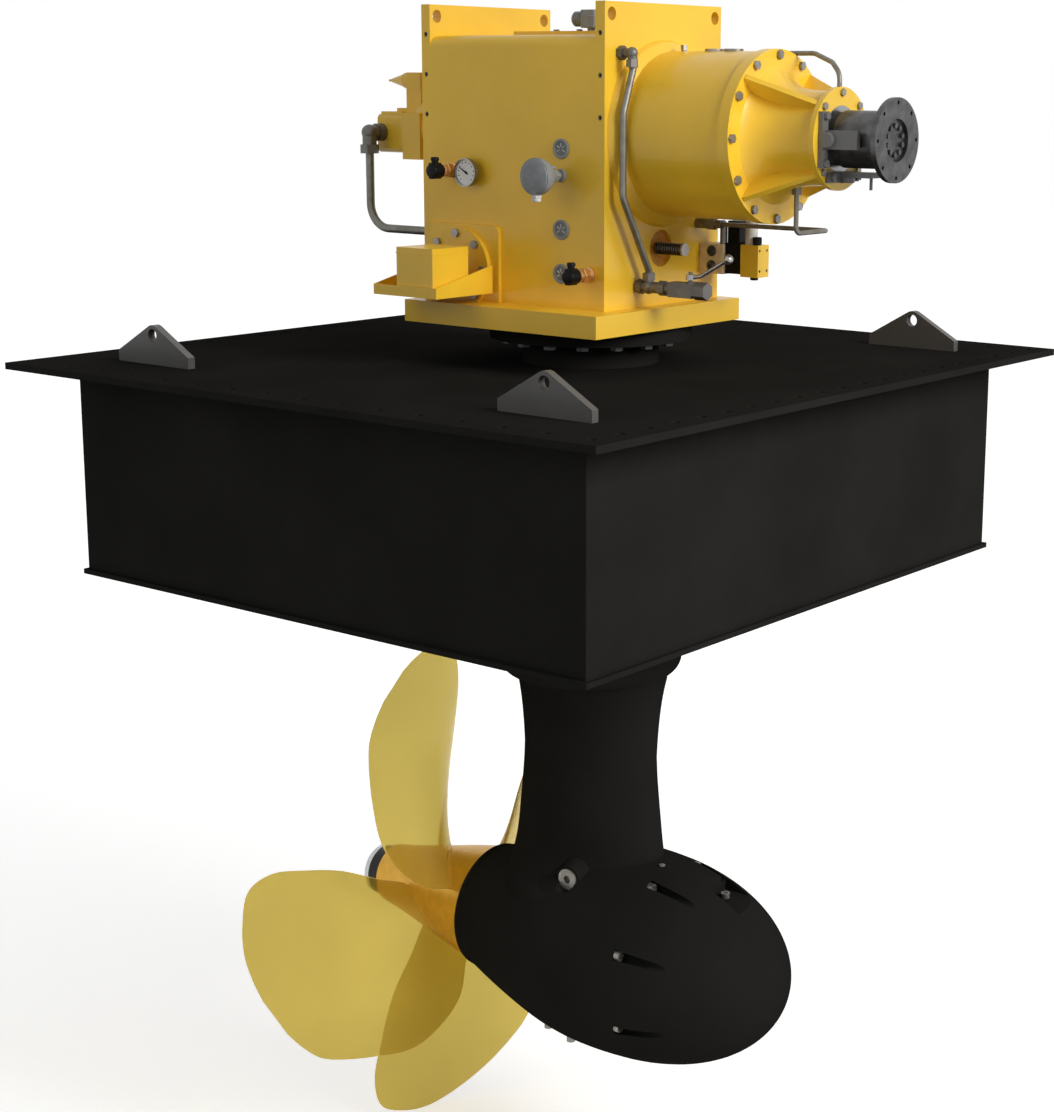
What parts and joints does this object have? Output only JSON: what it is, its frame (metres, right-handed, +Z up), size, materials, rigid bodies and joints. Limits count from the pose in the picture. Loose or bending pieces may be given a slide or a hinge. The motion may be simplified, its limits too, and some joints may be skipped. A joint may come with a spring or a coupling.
{
  "type": "stern thruster",
  "caption": "Well-mounted stern thruster: gear unit with clutch on a bolted hull well, fixed leg with pod and a bronze propeller.",
  "frame": {"origin": "middle of the hull bolt rectangle on the underside of the well's top plate", "axes": "+Z up, +X towards the input coupling, the propeller faces -X"},
  "size_m": [1.87, 1.886, 2.9993],
  "materials": {
    "yellow_paint": "glossy marine paint on cast and welded steel",
    "black_paint": "satin black coating on steel",
    "bronze": "polished propeller bronze",
    "blade_bronze": "smooth propeller bronze",
    "brass": "machined brass",
    "steel": "zinc plated steel",
    "gear_steel": "ground alloy steel",
    "dark_steel": "dark phosphated steel",
    "lug_grey": "grey coated steel",
    "black_plastic": "moulded plastic",
    "clear_glass": "clear sight glass",
    "seal_rubber": "oil resistant rubber",
    "white_plastic": "white cast housing",
    "spring_steel": "oiled spring wire"
  },
  "bodies": {
    "unit": {"well_top_plate": "black_paint", "well_wall_port": "black_paint", "well_wall_starboard": "black_paint", "well_wall_fore": "black_paint", "well_wall_aft": "black_paint", "well_floor": "black_paint", "well_webs": "black_paint", "leg_casting": "black_paint", "nose_cap": "black_paint", "stem_tube": "black_paint", "rope_guard": "black_paint", "lifting_lugs": "lug_grey", "stem_bolts": "steel", "nose_bolts": "steel", "unit_bolts": "steel", "pod_plugs": "steel", "oil_pipes": "steel", "brake_pipes": "steel", "pipe_fittings": "steel", "sight_glass_bodies": "steel", "housing_caps": "steel", "plunger_guide": "steel", "gear_case": "yellow_paint", "case_base": "yellow_paint", "side_plate_drive": "yellow_paint", "side_plate_pump": "yellow_paint", "clutch_housing": "yellow_paint", "input_housing": "yellow_paint", "inspection_cover": "yellow_paint", "junction_box": "yellow_paint", "manifold": "yellow_paint", "brake_arms": "dark_steel", "box_bracket": "dark_steel", "sight_glasses": "clear_glass", "oil_filter": "white_plastic", "oil_fittings": "brass", "elbow_plugs": "black_plastic", "solenoid_valve": "black_plastic", "oil_pump": "lug_grey", "thermometer": "lug_grey", "sensor_head": "lug_grey", "valve_block": "lug_grey", "bearings": "gear_steel", "shaft_seals": "seal_rubber"},
    "propeller_line": {"propeller_hub": "bronze", "propeller_blades": "blade_bronze", "propeller_cap": "steel", "propeller_shaft": "gear_steel", "lower_crown_wheel": "gear_steel"},
    "vertical_line": {"vertical_shaft": "gear_steel", "lower_pinion": "gear_steel", "upper_crown_wheel": "gear_steel"},
    "input_line": {"input_shaft": "gear_steel", "upper_pinion": "gear_steel", "clutch_pack": "gear_steel", "coupling_flange": "dark_steel"},
    "lever": {"valve_lever": "steel"},
    "needle": {"gauge_needle": "black_plastic"},
    "plunger": {"plunger": "steel", "plunger_spring": "spring_steel"}
  },
  "joints": [
    {"name": "propeller_spin", "type": "hinge", "parent": "unit", "child": "propeller_line", "pos_m": [-0.432, 0, -1.48], "axis": [1, 0, 0], "continuous": true},
    {"name": "vertical_spin", "type": "hinge", "parent": "unit", "child": "vertical_line", "pos_m": [0.128, 0, 0], "axis": [0, 0, 1], "continuous": true},
    {"name": "input_spin", "type": "hinge", "parent": "unit", "child": "input_line", "pos_m": [0.97, 0, 0.562], "axis": [1, 0, 0], "continuous": true},
    {"name": "valve_turn", "type": "hinge", "parent": "unit", "child": "lever", "pos_m": [0.499, -0.1, 0.245], "axis": [0, 0, -1], "range_deg": [0, 90]},
    {"name": "needle_turn", "type": "hinge", "parent": "unit", "child": "needle", "pos_m": [-0.05, -0.25, 0.469], "axis": [0, -1, 0], "range_deg": [-195, 75], "stiffness_Nm_per_rad": 0.0005},
    {"name": "plunger_press", "type": "slide", "parent": "unit", "child": "plunger", "axis": [1, 0, 0], "range_m": [-0.012, 0], "stiffness_N_per_m": 2000, "springref_m": 0.01, "deforming": ["plunger_spring"]}
  ],
  "couplings": [
    {"joint": "vertical_spin", "follows": "propeller_spin", "ratio": -2.3846},
    {"joint": "input_spin", "follows": "propeller_spin", "ratio": -2.8615}
  ]
}
